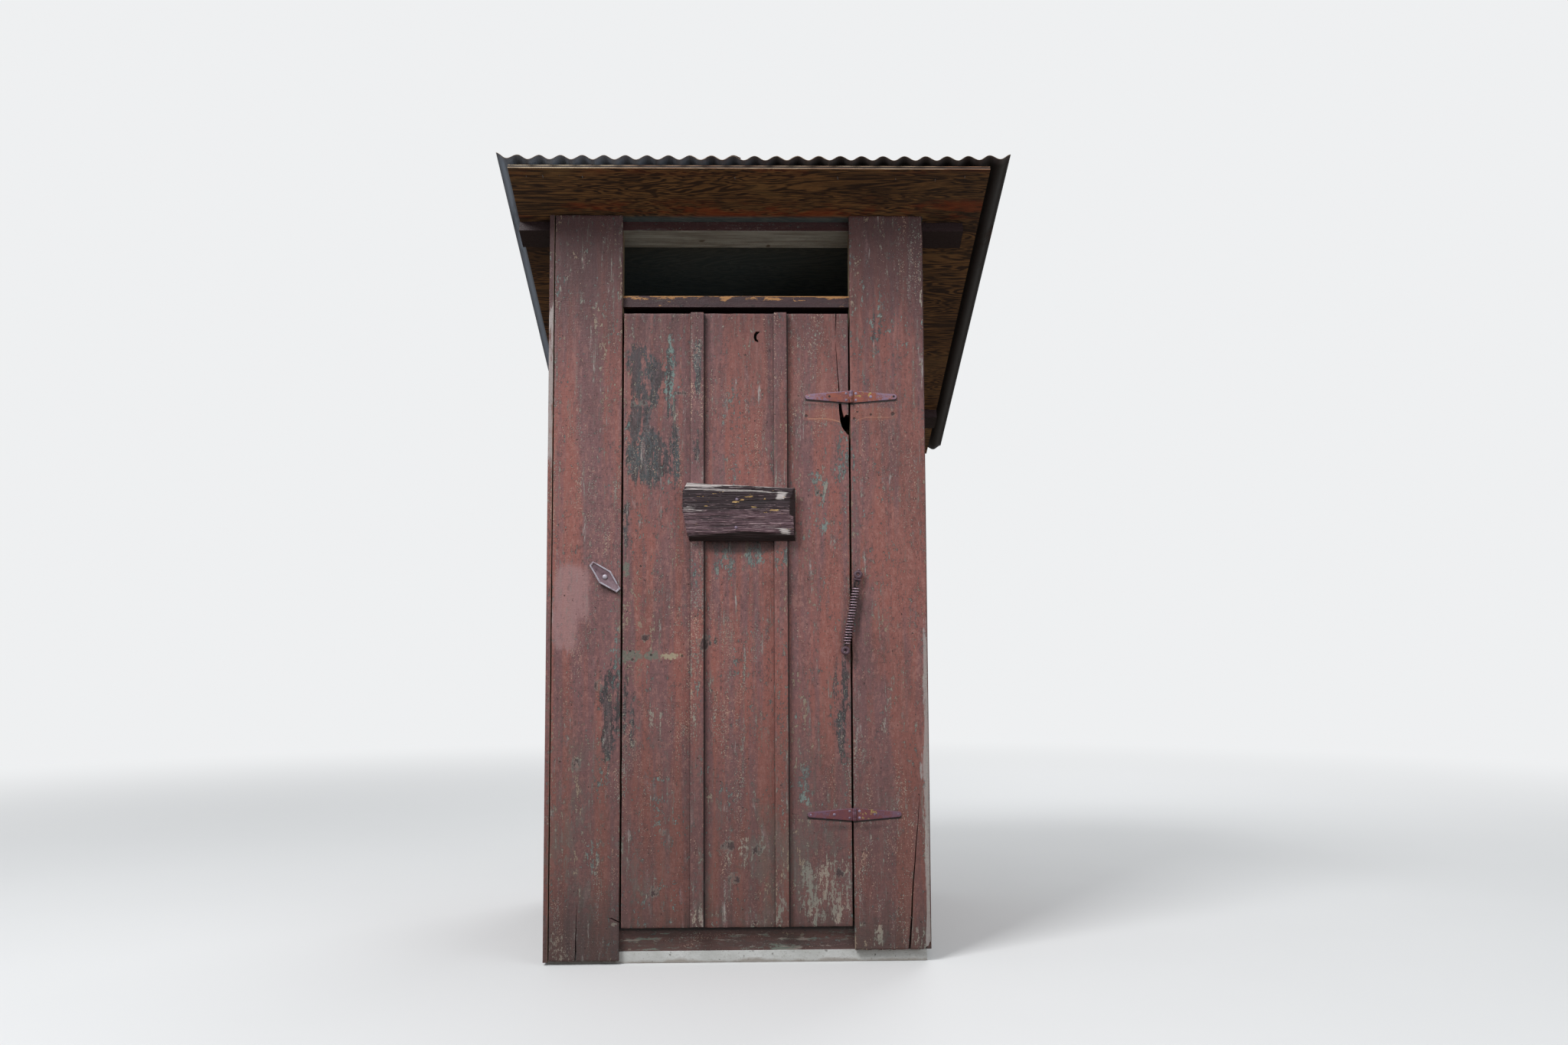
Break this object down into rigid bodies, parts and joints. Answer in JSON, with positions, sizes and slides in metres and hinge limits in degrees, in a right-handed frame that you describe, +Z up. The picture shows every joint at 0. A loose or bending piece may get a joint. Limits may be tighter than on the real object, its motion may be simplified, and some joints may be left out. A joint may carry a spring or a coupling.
{
  "type": "wooden outhouse",
  "caption": "Small plank outhouse with a battened door on strap hinges, an open transom, a turn button and a single-pitch corrugated roof.",
  "frame": {"origin": "middle of the building's footprint on the ground", "axes": "+Z up, +X to the right of the door seen from outside, +Y from the front to the back"},
  "size_m": [1.6656, 1.7297, 2.6108],
  "materials": {
    "red_paint": "worn red-brown paint on rough boards",
    "dull_paint": "thin dark paint on framing timber",
    "bare_wood": "bare grey-brown softwood",
    "plywood": "dark stained plywood",
    "weathered_sign": "dark weathered rough wood",
    "concrete": "rough cast concrete",
    "roofing": "dull weathered galvanised sheet",
    "rusty_iron": "rusted iron with paint flecks",
    "button_iron": "rusted plate with a bright worn rim"
  },
  "bodies": {
    "root": {"concrete_pad": "concrete", "rim_front": "dull_paint", "rim_back": "bare_wood", "rim_left": "bare_wood", "rim_right": "bare_wood", "joists": "bare_wood", "floor_planks": "bare_wood", "post_front_left": "bare_wood", "post_front_right": "bare_wood", "post_back_left": "bare_wood", "post_back_right": "bare_wood", "door_stud_left": "bare_wood", "door_stud_right": "bare_wood", "header_rail": "dull_paint", "girts": "bare_wood", "purlin_front": "dull_paint", "purlin_back": "dull_paint", "rafter_left": "bare_wood", "rafter_right": "bare_wood", "front_board_left": "red_paint", "front_board_right": "red_paint", "side_wall_left": "red_paint", "side_wall_right": "red_paint", "back_wall": "red_paint", "battens_left": "red_paint", "battens_right": "red_paint", "battens_back": "red_paint", "roof_deck_front": "plywood", "roof_deck_back": "plywood", "roof_sheet_left": "roofing", "roof_sheet_middle": "roofing", "roof_sheet_right": "roofing", "hinge_upper_plate": "rusty_iron", "hinge_lower_plate": "rusty_iron", "button_bolt": "rusty_iron", "door_spring": "rusty_iron", "spring_eye_wall": "rusty_iron"},
    "door": {"door_boards": "red_paint", "door_battens": "red_paint", "door_ledges": "bare_wood", "sign_board": "weathered_sign", "hinge_upper_strap": "rusty_iron", "hinge_lower_strap": "rusty_iron", "spring_eye_door": "rusty_iron"},
    "button": {"turn_button": "button_iron"}
  },
  "joints": [
    {"name": "door_swing", "type": "hinge", "parent": "root", "child": "door", "pos_m": [0.3805, -0.6288, 1.16], "axis": [0, 0, 1], "range_deg": [0, 110], "deforming": ["door_spring"]},
    {"name": "latch_turn", "type": "hinge", "parent": "root", "child": "button", "pos_m": [-0.4365, -0.6288, 1.25], "axis": [0, -1, 0], "range_deg": [-45, 90]}
  ]
}
